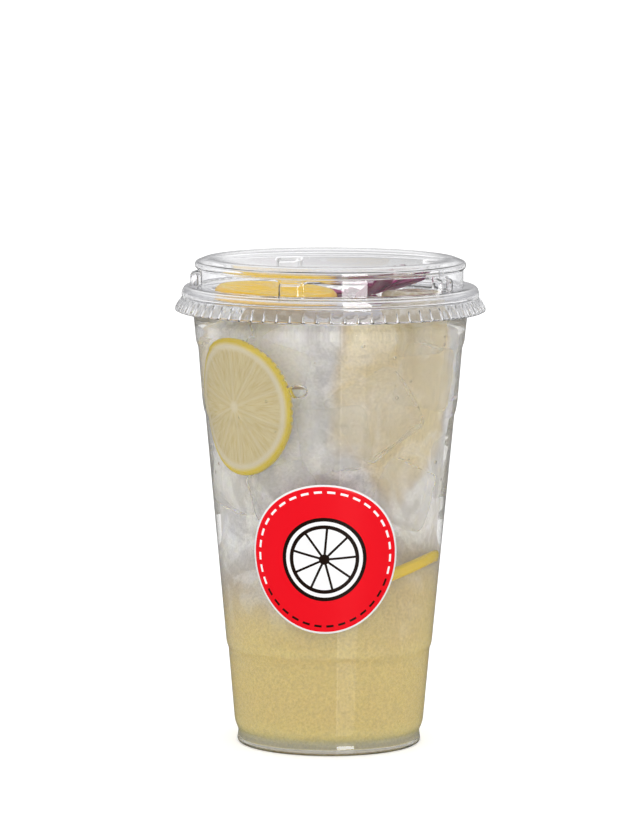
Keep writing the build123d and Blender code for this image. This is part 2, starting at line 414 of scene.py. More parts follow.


# %% [markdown]
# ## The cloudy body
#
# Low down the lemonade is thick with juice and reaches the wall. Higher up the melting
# ice thins it, so the cloudy body draws back from the wall and turns from straw to a
# pale grey. How icy each place is comes from the height, from a soft noise and from a
# few pockets of plain juice or of frost between the cubes, and is kept on the mesh as
# an attribute. The large juice pocket at the front right is also painted shade under
# the lid: it turns that place to the darker tan.

# %% How icy each place is
# Each pocket: angle from +X in degrees, height, half width and half height in mm.
# The first juice pocket, at the front right, is partly painted shade under the lid.
JUICE_AND_SHADE_POCKETS = [(-43, 120, 31, 30), (75, 104, 20, 18), (165, 126, 16, 14)]
FROST_POCKETS = [(-111, 112, 10, 32), (-128, 138, 18, 8), (30, 120, 14, 20), (120, 112, 15, 22)]
POCKET_R = 38            # the radius at which a pocket's width is measured
ICE_FROM, ICE_TO = 22, 74    # the heights between which juice gives way to ice


def inside(point, pocket):
    """1 inside a pocket and 0 outside it, with a soft and ragged edge."""
    angle, z, wide, high = pocket
    turn = (math.atan2(point.y, point.x) - math.radians(angle) + math.pi) % (2 * math.pi) - math.pi
    away = math.hypot(turn * POCKET_R / wide, (point.z / MM - z) / high)
    return 1 - ramp_up(away + 0.25 * noise.noise(point / (14 * MM)), 0.85, 1.15)


def iciness(point):
    """0 in plain juice, 0.7 where the drink is mostly ice, 1 in white frost, at a point in metres."""
    sunk = 6 + 5 * math.cos(math.atan2(point.y, point.x) + math.radians(30))
    ice = 0.7 * ramp_up(point.z / MM - sunk + 12 * noise.noise(point / (26 * MM)), ICE_FROM, ICE_TO)
    for pocket in JUICE_AND_SHADE_POCKETS:
        ice *= 1 - 0.62 * inside(point, pocket)
    for pocket in FROST_POCKETS:
        ice += (1 - ice) * 0.7 * inside(point, pocket)
    return ice


print(len(JUICE_AND_SHADE_POCKETS), "pockets of juice and", len(FROST_POCKETS), "of frost")

# %% Cloudy body
CORE_NARROW = 0.27       # how far the body draws back, as a share of the radius
NARROW_FROM, NARROW_TO = 45, 72
LUMP_SIZE, LUMP_OUT = 17, 1 / 34


def core_r(z):
    """Radius of the cloudy body at height z, in mm."""
    return (wall_r(z) - CUP_WALL - 0.5) * (1 - CORE_NARROW * ramp_up(z, NARROW_FROM, NARROW_TO))


core_line = [
    (0, FLOOR_Z + 1.3), (foot_in + 0.6, FLOOR_Z + 1.3), (foot_in + 1.15, 2.2),
    (FOOT_R - 1.45, 2.2), (FOOT_R - 1.65, 4.1),
]
core_line += [(core_r(z), z) for z in range(8, 143, 3)]
core_line += [(core_r(144) - 2, 144.2), (0, 144.6)]
bm = wire(core_line, {})
split_long(bm, longest=4)
spin(bm, steps=180)
icy = bm.verts.layers.float.new("icy")
for vert in bm.verts:
    vert[icy] = iciness(vert.co)
    lump = LUMP_OUT * ramp_up(vert.co.z / MM, 50, 80) * noise.noise(vert.co / (LUMP_SIZE * MM))
    vert.co.x *= 1 + lump
    vert.co.y *= 1 + lump
print("cloudy body has", len(bm.verts), "points")

# %% [markdown]
# ## Cloudy juice
#
# Pulp and trapped air scatter the light inside the drink, so the finish is subsurface
# scattering. Its colour follows the attribute, from straw through tan to frost; the tan
# stops are darker than straw and frost, as painted shade under the lid. A wide noise
# breaks the ice up into patches and a fine one stands for the pulp, which is drawn
# coarser than it is so that it shows.

# %% Cloudy juice
PULP, CLOUD = 0.9, 15


def steeped(code):
    """The colour to give a matt thing sunk in the drink, so that it reads as code from outside.

    Light that leaves the drink is partly turned back at its skin and soaks in again,
    which darkens what lies under it. This undoes that for a skin of index 1.34.
    """
    seen = [c / 0.78 for c in colour(code)[:3]]
    return (*[min(0.97, c / (0.493 + 0.47 * c)) for c in seen], 1.0)


cloud, tree, shader = new_finish(
    "cloudy juice", Roughness=0.35, IOR=1.33, Specular_IOR_Level=0.2, Subsurface_Weight=1.0,
    Subsurface_Radius=(1.0, 0.85, 0.5), Subsurface_Scale=10 * MM,
)
place = put(tree, "ShaderNodeTexCoord").outputs["Object"]
amount = put(tree, "ShaderNodeAttribute", attribute_name="icy").outputs["Fac"]
grains = put(tree, "ShaderNodeTexNoise", {"Vector": place, "Scale": 1 / (PULP * MM), "Detail": 2.0})
clouds = put(
    tree, "ShaderNodeTexNoise",
    {"Vector": place, "Scale": 1 / (CLOUD * MM), "Detail": 4.0, "Distortion": 1.2},
)
# The two tan stops are painted shade: they are darker than the straw and the frost.
shade = put(tree, "ShaderNodeValToRGB", {0: amount}, stops=[
    (0.0, steeped("#b7a566")), (0.25, steeped("#ad9c74")), (0.5, steeped("#9e9280")),
    (0.7, steeped("#a5a4a5")), (1.0, steeped("#cbccce")),
])
frosty = put(tree, "ShaderNodeMapRange", {0: clouds, 1: 0.46, 2: 0.62, 3: 0.0, 4: 1.0})
frosty = put(tree, "ShaderNodeMath", {0: frosty, 1: amount}, operation="MULTIPLY")
frosted = put(
    tree, "ShaderNodeMix", {0: frosty, 6: shade, 7: steeped("#d6d7da")}, data_type="RGBA",
).outputs[2]
patchy = put(tree, "ShaderNodeMapRange", {0: clouds, 1: 0.3, 2: 0.5, 3: 0.86, 4: 1.0})
patchy = put(tree, "ShaderNodeMix", {0: amount, 2: 1.0, 3: patchy})
grainy = put(tree, "ShaderNodeMapRange", {0: grains, 1: 0.3, 2: 0.7, 3: 0.88, 4: 1.1})
both = put(tree, "ShaderNodeMath", {0: patchy, 1: grainy}, operation="MULTIPLY")
tinted = put(tree, "ShaderNodeVectorMath", {0: frosted, "Scale": both}, operation="SCALE")
tree.links.new(tinted.outputs[0], shader.inputs["Base Color"])
make_piece(bm, "cloudy_juice", cloud)

# %% [markdown]
# ## Ice
#
# Moulded cubes that have begun to melt: their edges are round, their faces a little
# hollow, and no two are the same. Under the drink ice nearly vanishes, because its
# index, 1.31, is so close to the drink's, 1.34; only edges and trapped frost show.
# A sunken cube is therefore given about the ratio of the two instead of its own index.

# %% One cube
EDGE_CUTS = 7


def cube_mesh(bm, size, height, melt, seed, place):
    """Adds one half melted cube to bm. Its top face is at z = 0 before place moves it."""
    made = bmesh.ops.create_cube(bm, size=1.0)["verts"]
    bmesh.ops.scale(bm, vec=(size * MM, size * MM, height * MM), verts=made)
    faces = list({f for v in made for f in v.link_faces})
    edges = list({e for v in made for e in v.link_edges})
    rounded = bmesh.ops.bevel(
        bm, geom=edges, offset=melt * MM, offset_type="OFFSET", segments=3,
        profile=0.5, affect="EDGES", material=-1,
    )
    faces = list({f for f in rounded["faces"]} | {f for f in faces if f.is_valid})
    edges = list({e for f in faces for e in f.edges if e.calc_length() > 5 * MM})
    bmesh.ops.subdivide_edges(bm, edges=edges, cuts=EDGE_CUTS, use_grid_fill=True)
    # The new vertices are found by walking along the cube's edges.
    verts, walk = set(), [faces[0].verts[0]] if faces[0].is_valid else []
    while walk:
        vert = walk.pop()
        if vert not in verts:
            verts.add(vert)
            walk.extend(e.other_vert(vert) for e in vert.link_edges)
    shift = Vector((seed * 3.7, seed * 1.3, seed * 2.1))
    for vert in verts:
        vert.co *= 1 - 0.12 * (0.5 + 0.5 * noise.noise(vert.co / (9 * MM) + shift))
        vert.co *= 1 - 0.03 * (0.5 + 0.5 * noise.noise(vert.co / (3 * MM) + shift))
        vert.co.z -= height * MM / 2
    bmesh.ops.transform(bm, matrix=place, verts=list(verts))


def cut_level(bm, z, keep_above):
    """Cuts bm level at height z, in mm, keeps one side and closes it."""
    bmesh.ops.bisect_plane(
        bm, geom=bm.verts[:] + bm.edges[:] + bm.faces[:], plane_co=(0, 0, z * MM), plane_no=(0, 0, 1),
        clear_inner=keep_above, clear_outer=not keep_above,
    )
    bmesh.ops.holes_fill(bm, edges=[e for e in bm.edges if e.is_boundary], sides=0)
    bmesh.ops.recalc_face_normals(bm, faces=bm.faces[:])


# %% One floating cube
ICE_SIZE, ICE_HEIGHT, TALL_SIZE = 21.0, 22.0, 17.0
LEAN = Vector((0.05, -0.03, 1.0)).to_track_quat("Z", "Y").to_matrix().to_4x4()
TOP_CUBES = (            # node, size, turn and lean of the three cubes that float
    ("ice_low", ICE_SIZE, 217, LEAN), ("ice_back", ICE_SIZE, 17, Matrix()),
    ("ice_tall", TALL_SIZE, -38, Matrix()),
)


def top_cube(bm, node, size, turn, lean):
    """Adds one floating cube to bm, where its CAD node lies."""
    low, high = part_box(node)
    top = Vector(((low.x + high.x) / 2, (low.y + high.y) / 2, high.z - 0.2 * MM))
    spot = Matrix.Translation(top) @ lean @ Matrix.Rotation(math.radians(turn), 4, "Z")
    cube_mesh(bm, size, ICE_HEIGHT, 2.6, size + turn, spot)


print(len(TOP_CUBES), "cubes float")

# %% Sunken cubes
CUBES = [                # angle from +X in degrees, height of the middle, size, turn, roll
    (-122, 130, 22, 20, -14), (-88, 108, 23, 50, 8), (-62, 117, 27, 6, 33), (-30, 128, 23, 33, -10),
    (20, 130, 23, 64, 12), (62, 112, 24, 8, -20), (104, 128, 23, 40, 10), (142, 112, 24, 75, -8),
    (178, 128, 23, 25, 15), (-160, 92, 22, 58, -12), (-118, 88, 23, 30, 20), (-40, 88, 22, 15, -24),
    (12, 96, 22, 48, 10), (52, 86, 22, 22, -6), (120, 88, 22, 66, 18),
]
sunken_ice = new_finish(
    "sunken ice", Base_Color=colour("#fbfbfa"), Roughness=0.03, IOR=1.03, Transmission_Weight=0.85,
)[0]
bm = bmesh.new()
for top in TOP_CUBES:
    top_cube(bm, *top)
cut_level(bm, SURFACE - 0.4, keep_above=False)
for number, (angle, z, size, turn, roll) in enumerate(CUBES):
    bearing = math.radians(angle)
    reach = wall_r(z) - CUP_WALL - 1.8 - size * 0.56
    middle = Vector((reach * math.cos(bearing), reach * math.sin(bearing), z)) * MM
    tip = (
        Matrix.Rotation(bearing, 4, "Z") @ Matrix.Rotation(math.radians(roll), 4, "X")
        @ Matrix.Rotation(math.radians(turn * 0.3 - 8), 4, "Z") @ Matrix.Translation((0, 0, size / 2 * MM))
    )
    cube_mesh(bm, size, size, 3.2, number + 1, Matrix.Translation(middle) @ tip)
make_piece(bm, "ice_sunken", sunken_ice)

# %% Floating cubes
wet_ice, tree, shader = new_finish("wet ice", Roughness=0.08, IOR=1.31, Transmission_Weight=0.35)
place = put(tree, "ShaderNodeTexCoord").outputs["Object"]
frost = put(tree, "ShaderNodeTexNoise", {"Vector": place, "Scale": 1 / (2.5 * MM), "Detail": 3.0})
shade = put(tree, "ShaderNodeValToRGB", {0: frost}, stops=[
    (0.35, colour("#cdbf9f")), (0.5, colour("#dacdb0")), (0.66, colour("#f6f2e8")),
])
tree.links.new(shade.outputs[0], shader.inputs["Base Color"])
bump = put(tree, "ShaderNodeBump", {"Height": frost, "Distance": 0.4 * MM, "Strength": 1.0})
tree.links.new(bump.outputs[0], shader.inputs["Normal"])
for top in TOP_CUBES:
    bm = bmesh.new()
    top_cube(bm, *top)
    cut_level(bm, SURFACE - 1.2, keep_above=True)
    piece = make_piece(bm, top[0] + "_melted", wet_ice)
    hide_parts(top[0])

# %% [markdown]
# ## Lemon slices
#
# Every slice is spun as a disc with rings close enough to shape the flesh: the peel is
# a smooth round rim, the pith stands level, and the flesh sinks a little between the
# membranes. A UV map made while the disc is flat carries the pattern, so it bends
# with the slice that is pressed against the wall.

# %% The slice's mesh
SEGMENTS = 10
PEEL, PITH = 0.94, 0.86  # inner edges of the peel and of the pith, as shares of the radius
FLESH_DEPTH = 0.35


def map_flat(bm, radius):
    """Gives a disc of that radius, in mm, a UV map of its outline. The disc still lies flat."""
    flat = bm.loops.layers.uv.new("flat")
    for face in bm.faces:
        for loop in face.loops:
            loop[flat].uv = loop.vert.co.xy / (2 * radius * MM) + Vector((0.5, 0.5))


def slice_mesh(radius, thickness):
    """A flat lemon slice round the origin, with a UV map that spans its outline."""
    h = thickness / 2
    line = [(0, h)] + [(radius * k / 16, h) for k in range(2, 15)] + [(radius * PEEL, h), (radius, h * 0.5)]
    line += [(r, -z) for r, z in reversed(line)]
    bm = wire(line, {15: 0.5, 16: 0.5})
    spin(bm, steps=120)
    for vert in bm.verts:
        share = Vector(vert.co.xy).length / (radius * MM)
        turn = math.atan2(vert.co.y, vert.co.x) * SEGMENTS / (2 * math.pi)
        from_membrane = abs(turn - round(turn)) * 2 * share
        flesh = ramp_up(from_membrane, 0.03, 0.18) * (1 - ramp_up(share, 0.8, 0.87)) * ramp_up(share, 0.06, 0.2)
        vert.co.z -= math.copysign(FLESH_DEPTH * MM * flesh, vert.co.z)
    map_flat(bm, radius)
    return bm


# %% [markdown]
# ## Cut lemon
#
# Cut flesh is wet and a little clear, with pale membranes and long juice cells that
# fan out from the middle, inside white pith and a waxy, pored peel. All of it follows
# from two measures, the share of the radius and the turn round the middle: noise
# stretched along the radius gives the cells, and the other parts are laid over them.

# %% Cut lemon


def polar(tree, uv_map, lean=0.0):
    """Of a flat disc's UV map: the arm from its middle, the share of its radius and the turn."""
    uv = put(tree, "ShaderNodeUVMap", uv_map=uv_map)
    arm = put(tree, "ShaderNodeMapping", {"Vector": uv, "Location": (-1, -1, 0), "Scale": (2, 2, 1)})
    arm = put(tree, "ShaderNodeVectorRotate", {"Vector": arm, "Angle": lean}, rotation_type="Z_AXIS")
    axes = put(tree, "ShaderNodeSeparateXYZ", {0: arm}).outputs
    share = put(tree, "ShaderNodeVectorMath", {0: arm}, operation="LENGTH").outputs["Value"]
    turn = put(tree, "ShaderNodeMath", {0: axes[1], 1: axes[0]}, operation="ARCTAN2")
    return axes, share, turn


def repeats(tree, turn, count):
    """Counts count steps round a turn, and measures how far each place is from a whole step."""
    steps = put(tree, "ShaderNodeMath", {0: turn, 1: count / (2 * math.pi)}, operation="MULTIPLY")
    off = put(tree, "ShaderNodeMath", {0: steps, 1: 0.5}, operation="PINGPONG")
    return steps, off


def lemon_finish(name, flesh_ink, cell_ink, pith_ink, peel_ink, clear, shine=0.5):
    """Cut lemon: peel, pith, membranes and the long juice cells that fan out between them."""
    finish, tree, shader = new_finish(
        name, Roughness=0.22, IOR=1.38, Specular_IOR_Level=shine, Subsurface_Weight=clear,
        Subsurface_Radius=(1.0, 0.8, 0.3), Subsurface_Scale=1.5 * MM,
    )
    axes, share, turn = polar(tree, "flat")
    steps, off = repeats(tree, turn, SEGMENTS)
    side = put(tree, "ShaderNodeMath", {0: steps, 1: 1.0}, operation="PINGPONG")
    across = put(tree, "ShaderNodeMath", {0: off, 1: share}, operation="MULTIPLY")
    fan = put(tree, "ShaderNodeCombineXYZ", {0: side, 1: share, 2: steps})
    cells = put(tree, "ShaderNodeMapping", {"Vector": fan, "Scale": (9, 2.2, 0)})
    streaks = put(tree, "ShaderNodeTexNoise", {"Vector": cells, "Scale": 2.2, "Detail": 3.0})
    whole = put(
        tree, "ShaderNodeValToRGB", {0: streaks}, stops=[(0.35, flesh_ink), (0.62, cell_ink)],
    ).outputs[0]
    for measure, start, end, low, high, ink in (
        (across, 0.006, 0.04, 0.5, 0.0, pith_ink),              # membranes
        (share, 0.05, 0.1, 1.0, 0.0, pith_ink),                 # heart
        (share, PITH - 0.05, PITH, 0.0, 1.0, pith_ink),         # pith
        (share, PEEL - 0.05, PEEL + 0.01, 0.0, 1.0, peel_ink),  # peel
    ):
        mask = put(tree, "ShaderNodeMapRange", {0: measure, 1: start, 2: end, 3: low, 4: high})
        whole = put(tree, "ShaderNodeMix", {0: mask, 6: whole, 7: ink}, data_type="RGBA").outputs[2]
    tree.links.new(whole, shader.inputs["Base Color"])
    place = put(tree, "ShaderNodeTexCoord").outputs["Object"]
    pores = put(tree, "ShaderNodeTexNoise", {"Vector": place, "Scale": 1 / (0.9 * MM), "Detail": 1.0})
    bump = put(tree, "ShaderNodeBump", {"Height": pores, "Distance": 0.12 * MM, "Strength": 1.0})
    tree.links.new(bump.outputs[0], shader.inputs["Normal"])
    print(name, "has", SEGMENTS, "segments")
    return finish


pale_lemon = lemon_finish(
    "lemon in the drink", steeped("#a49360"), steeped("#b3a67b"), steeped("#b9af92"), steeped("#c8a808"), 0.1,
)
edge_lemon = lemon_finish(
    "lemon seen edge on", steeped("#b39a4a"), steeped("#bda864"), steeped("#c0b070"), steeped("#cba400"), 0.0,
)
ripe_lemon = lemon_finish(
    "ripe lemon", colour("#f2c400"), colour("#f6cc04"), colour("#f4d230"), colour("#f6c200"), 0.0, shine=0.2,
)

# %% Slice on the wall, upper left
WALL_SLICE = math.radians(-138.5)
WALL_SLICE_Z, WALL_SLICE_R, SLICE_THICK = 118.0, 23.3, 4.6


def wrap(bm, angle, z, depth):
    """Bends flat bm round the side wall, with its middle at an angle from +X, a height and a depth in mm."""
    for vert in bm.verts:
        turn = angle + vert.co.x / (wall_r(z) * MM)
        vert.co = on_wall(turn, z + vert.co.y / MM, depth - vert.co.z / MM)


bm = slice_mesh(WALL_SLICE_R, SLICE_THICK)
bmesh.ops.rotate(bm, cent=(0, 0, 0), matrix=Matrix.Rotation(0.35, 3, "Z"), verts=bm.verts[:])
wrap(bm, WALL_SLICE, WALL_SLICE_Z, CUP_WALL + 0.3 + SLICE_THICK / 2)
make_piece(bm, "lemon_on_wall", pale_lemon)

# %% Slice across the drink, on the right, which shows its peel
bm = slice_mesh(23.0, 4.2)
across = Matrix.Translation(Vector((11.5, -9.0, 59.0)) * MM) @ Matrix.Rotation(math.radians(-17), 4, "Y")
bmesh.ops.transform(bm, matrix=across, verts=bm.verts[:])
for vert in bm.verts:    # the slice bends where it would reach through the wall
    limit = (wall_r(vert.co.z / MM) - CUP_WALL - 0.3) * MM
    reach = Vector(vert.co.xy).length
    if reach > limit:
        vert.co.x *= limit / reach
        vert.co.y *= limit / reach
make_piece(bm, "lemon_across", edge_lemon)

# %% Slice on top, under the lid
low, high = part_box("lemon_slice")
bm = slice_mesh(20.5, 5.0)
bmesh.ops.transform(bm, matrix=Matrix.Translation((low + high) / 2) @ LEAN, verts=bm.verts[:])
top_slice = make_piece(bm, "lemon_on_top", ripe_lemon)
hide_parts("lemon_slice")

# %% [markdown]
# ## Orchid
#
# An edible orchid has five broad petals and a darker lip. Each petal is a grid that is
# narrowed to an oval, cupped along its length and rippled at its rim. One petal comes
# to lie against the lemon slice. The short stalk that holds the flower up in the CAD
# model is hidden under the petals from most sides, and is left out. Colour runs from a
# pale throat to a deep magenta tip with veins.

# %% One petal
BOWL_R = 80.0


def petal_mesh(bm, uv_layer, length, width, turn, roll, lift, seed):
    """Adds one petal to bm, from the heart outwards, and its UV map along the petal."""
    made = bmesh.ops.create_grid(bm, x_segments=22, y_segments=12, size=0.5)["verts"]
    shares = {v: (v.co.x + 0.5, v.co.y * 2) for v in made}
    for vert in made:
        along, side = shares[vert]
        broad = math.sin(math.pi * min(1, 0.08 + along * 0.9) ** 1.25) ** 0.7
        x, y = along * length, side * broad * width / 2
        ripple = 0.5 * abs(side) ** 2 * math.sin(along * 11 + seed + side)
        vein = -0.18 * math.exp(-(side * 7) ** 2)
        rise = x * x / (2 * BOWL_R) + 1.5 * side * side * along + roll * y * min(1, 1.5 * along)
        vert.co = Vector((x, y, lift + rise + ripple + vein)) * MM
    for face in {f for v in made for f in v.link_faces}:
        for loop in face.loops:
            along, side = shares[loop.vert]
            loop[uv_layer].uv = (along, side * 0.5 + 0.5)
    bmesh.ops.rotate(bm, cent=(0, 0, 0), matrix=Matrix.Rotation(math.radians(turn), 3, "Z"), verts=made)


# %% Petal colour
petal, tree, shader = new_finish("orchid petal", Roughness=0.45, IOR=1.4, Specular_IOR_Level=0.2)
along = put(tree, "ShaderNodeUVMap", uv_map="petal")
parts = put(tree, "ShaderNodeSeparateXYZ", {0: along})
lines = put(tree, "ShaderNodeMapping", {"Vector": along, "Scale": (1.2, 16, 1)})
veins = put(tree, "ShaderNodeTexNoise", {"Vector": lines, "Scale": 1.6, "Detail": 2.0})
veined = put(tree, "ShaderNodeMath", {0: veins, 1: 0.5, 2: parts}, operation="MULTIPLY_ADD")
shade = put(tree, "ShaderNodeValToRGB", {0: veined}, stops=[
    (0.2, colour("#cc80b0")), (0.42, colour("#b0207c")), (0.7, colour("#940a60")), (1.0, colour("#740448")),
])
tree.links.new(shade.outputs[0], shader.inputs["Base Color"])

# %% Orchid
PETALS = [               # turn in degrees, length, width and roll of the five petals
    (4, 30, 17, 0.6), (58, 23, 14, 0.0), (106, 23, 13, 0.0), (152, 25, 14, -0.3), (-86, 24, 13, 0.0),
]
BLOOM = Vector((12.8, 2.6, LEVEL_Z + 5.5)) * MM
bm = bmesh.new()
petal_uv = bm.loops.layers.uv.new("petal")
for number, (turn, length, width, roll) in enumerate(PETALS):
    petal_mesh(bm, petal_uv, length, width, turn, roll, 0.9 + 0.12 * number, number * 2.4)
petal_mesh(bm, petal_uv, 11, 8, -38, 0.0, 1.8, 9.0)   # the lip
petal_mesh(bm, petal_uv, 7, 4, 142, 0.0, 2.0, 5.0)    # the column
tilted = Vector((-0.14, 0, 1)).to_track_quat("Z", "Y").to_matrix().to_4x4()
bmesh.ops.transform(bm, matrix=Matrix.Translation(BLOOM) @ tilted, verts=bm.verts[:])
bloom = make_piece(bm, "orchid_petals", petal)
thicken(bloom, 0.5, 0)
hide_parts("orchid")

# %% [markdown]
# ## Bubbles
#
# Air that clings to the peel and to the wall. Small ones are spheres; the large one by
# the lemon slice is flattened under the wall. Light goes from the drink into air, so
# their index is 1 / 1.34. The large one's crown carries a tan band of painted shade,
# for the dark edge at its top.

# %% Air
air, tree, shader = new_finish("air bubble", Roughness=0.0, IOR=0.75, Transmission_Weight=1.0)
place = put(tree, "ShaderNodeTexCoord").outputs["Object"]
up = put(tree, "ShaderNodeSeparateXYZ", {0: place}).outputs[2]
# The tan band round the large bubble's crown is painted shade.
crown = put(tree, "ShaderNodeMapRange", {0: up, 1: 120 * MM, 2: 130 * MM, 3: 0.0, 4: 1.0})
white, crown_shade = colour("#ffffff"), colour("#b39a6c")
tint = put(
    tree, "ShaderNodeValToRGB", {0: crown}, stops=[(0.53, white), (0.57, crown_shade), (0.68, crown_shade), (0.71, white)],
)
tree.links.new(tint.outputs[0], shader.inputs["Base Color"])

# %% Bubbles
PEEL_GAP = 0.3
bm = bmesh.new()


def bubble(angle, z, radius, flat=1.0):
    """One bubble that touches the wall, at an angle from +X in degrees and a height in mm."""
    spot = on_wall(math.radians(angle), z, CUP_WALL + 0.2 + radius * flat)
    made = bmesh.ops.create_uvsphere(bm, u_segments=14, v_segments=9, radius=radius * MM)["verts"]
    bmesh.ops.scale(bm, vec=(flat, 1.0, flat), verts=made)
    bmesh.ops.rotate(bm, cent=(0, 0, 0), matrix=Matrix.Rotation(math.radians(angle), 3, "Z"), verts=made)
    bmesh.ops.translate(bm, vec=spot, verts=made)


bubble(-105, 124.5, 3.3, 0.75)
chance = random.Random(4)
peel_r = WALL_SLICE_R + PEEL_GAP
for turn in range(-10, 76, 6):
    rim = math.radians(turn)
    angle = math.degrees(WALL_SLICE + peel_r * math.cos(rim) / wall_r(WALL_SLICE_Z))
    bubble(angle, WALL_SLICE_Z + peel_r * math.sin(rim), chance.uniform(0.35, 0.6))
for _ in range(60):
    bubble(chance.uniform(-180, 180), chance.uniform(84, 142), chance.uniform(0.25, 0.7))
make_piece(bm, "bubbles", air)

# %% [markdown]
# ## Sticker
#
# A two inch round label of coated paper, printed in three inks and varnished. The flat
# disc is wrapped on the cone of the wall. The print is drawn from the disc's own UV
# map: a thin white border, a red field, a ring of short dashes, and a plain citrus
# wheel in the middle. Each layer of ink is a mask, laid over the one before.

# %% Print
RED, WHITE, BLACK = colour("#f0051b"), colour("#fbfbfb"), colour("#1d0f07")
DASHES, WEDGES = 34, 9
paper, tree, shader = new_finish("varnished label paper", Roughness=0.3, IOR=1.5, Specular_IOR_Level=0.12)
axes, share, turn = polar(tree, "flat", lean=math.radians(-5))


def band(value, low, high):
    """1 where value is between low and high, else 0."""
    over = put(tree, "ShaderNodeMath", {0: value, 1: low}, operation="GREATER_THAN")
    under = put(tree, "ShaderNodeMath", {0: value, 1: high}, operation="LESS_THAN")
    return put(tree, "ShaderNodeMath", {0: over, 1: under}, operation="MULTIPLY")


off_dash = repeats(tree, turn, DASHES)[1]
ring = band(share, 0.885, 0.915)
dashes = put(tree, "ShaderNodeMath", {0: band(off_dash, 0.2, 0.6), 1: ring}, operation="MULTIPLY")
off_spoke = put(tree, "ShaderNodeMath", {0: repeats(tree, turn, WEDGES)[1], 1: share}, operation="MULTIPLY")
flesh = band(share, 0.07, 0.41)
wedges = put(tree, "ShaderNodeMath", {0: band(off_spoke, 0.022, 1.0), 1: flesh}, operation="MULTIPLY")
low_half = band(axes[1], -2.0, -0.35)
dash_ink = put(tree, "ShaderNodeMix", {0: low_half, 6: WHITE, 7: BLACK}, data_type="RGBA").outputs[2]
printed = RED
for mask, ink in (
    (band(share, 0.975, 2.0), WHITE),    # border
    (dashes, dash_ink),
    (band(share, -1.0, 0.56), BLACK),    # wheel
    (band(share, 0.46, 0.51), WHITE),
    (wedges, WHITE),
):
    printed = put(tree, "ShaderNodeMix", {0: mask, 6: printed, 7: ink}, data_type="RGBA").outputs[2]
tree.links.new(printed, shader.inputs["Base Color"])
print("print has", DASHES, "dashes and", WEDGES, "wedges")

# %% Sticker
LABEL_R, LABEL_Z, LABEL_ANGLE = 25.4, 68.0, math.radians(-92.7)
LABEL_THICK, LABEL_OUT = 0.2, 0.3
bm = wire([(0, 0), (LABEL_R, 0)], {})
split_long(bm, longest=1.5)
spin(bm, steps=96)
map_flat(bm, LABEL_R)
wrap(bm, LABEL_ANGLE, LABEL_Z, -LABEL_OUT)
label = make_piece(bm, "sticker", paper)
thicken(label, LABEL_THICK, -1)
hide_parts("label")

# %% [markdown]
# ## Table
#
# A white table. It is matt, so it keeps the cup's shadow, and it glows a little where
# it is seen, so that it meets the white behind it with no line. Rays that come through
# the lid's dish meet the table far behind the cup. There they alone see a grey strip of
# painted shade, darker to the right, with a dark line at its far end, which gives the
# clear dish something to show.

# %% Table
TABLE_R, GLOW = 40.0, 0.22
STRIP_HALF, STRIP_MIDDLE, STRIP_REACH, STRIP_END = 0.25, 0.975, 0.575, 1.54
bm = bmesh.new()
bmesh.ops.create_circle(bm, cap_ends=True, segments=64, radius=TABLE_R)
floor_mesh = bpy.data.meshes.new("table")
bm.to_mesh(floor_mesh)
bm.free()
floor = bpy.data.objects.new("table", floor_mesh)
bpy.context.collection.objects.link(floor)
table_top, tree, shader = new_finish(
    "matt white table", Roughness=0.9, Specular_IOR_Level=0.0, Emission_Color=(1, 1, 1, 1),
)
kinds = put(tree, "ShaderNodeLightPath").outputs
spot = put(tree, "ShaderNodeSeparateXYZ", {0: put(tree, "ShaderNodeTexCoord").outputs["Object"]}).outputs
# Painted shade for the strip: grey that darkens to the right and a dark line at its far end.
side = put(tree, "ShaderNodeMapRange", {0: spot[0], 1: -0.04, 2: 0.07, 3: 0.70, 4: 0.36})
middle = put(tree, "ShaderNodeMath", {0: spot[0], 1: 0.0, 2: STRIP_HALF}, operation="COMPARE")
back = put(tree, "ShaderNodeMath", {0: spot[1], 1: STRIP_MIDDLE, 2: STRIP_REACH}, operation="COMPARE")
line = put(tree, "ShaderNodeMath", {0: spot[1], 1: STRIP_END, 2: 0.01}, operation="COMPARE")
edge = put(tree, "ShaderNodeMapRange", {0: line, 3: 1.0, 4: 0.6})
painted_shade = put(tree, "ShaderNodeMath", {0: side, 1: edge}, operation="MULTIPLY")
strip = put(tree, "ShaderNodeMath", {0: middle, 1: back}, operation="MULTIPLY")
strip = put(tree, "ShaderNodeMath", {0: strip, 1: kinds["Is Transmission Ray"]}, operation="MULTIPLY")
top = put(tree, "ShaderNodeMix", {0: strip, 6: colour("#f6f6f6"), 7: painted_shade}, data_type="RGBA").outputs[2]
tree.links.new(top, shader.inputs["Base Color"])
seen = put(
    tree, "ShaderNodeMath", {0: kinds["Is Camera Ray"], 1: kinds["Is Transmission Ray"]}, operation="MAXIMUM",
)
glowing = put(tree, "ShaderNodeMath", {0: seen, 1: strip}, operation="SUBTRACT")
glowing = put(tree, "ShaderNodeMath", {0: glowing, 1: GLOW}, operation="MULTIPLY")
tree.links.new(glowing.outputs[0], shader.inputs["Emission Strength"])
floor_mesh.materials.append(table_top)
floor.visible_glossy = False
floor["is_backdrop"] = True
print("table of", TABLE_R, "m radius")

# %% [markdown]
# ## Room
#
# Clear plastic only shows by what it mirrors and bends, so each kind of ray meets its
# own world. The camera sees white. Matt things are lit by white walls with a dimmer
# band low down. Glossy rays and rays through the plastic meet a dim room, which draws
# the grey edges of the cup and lid.

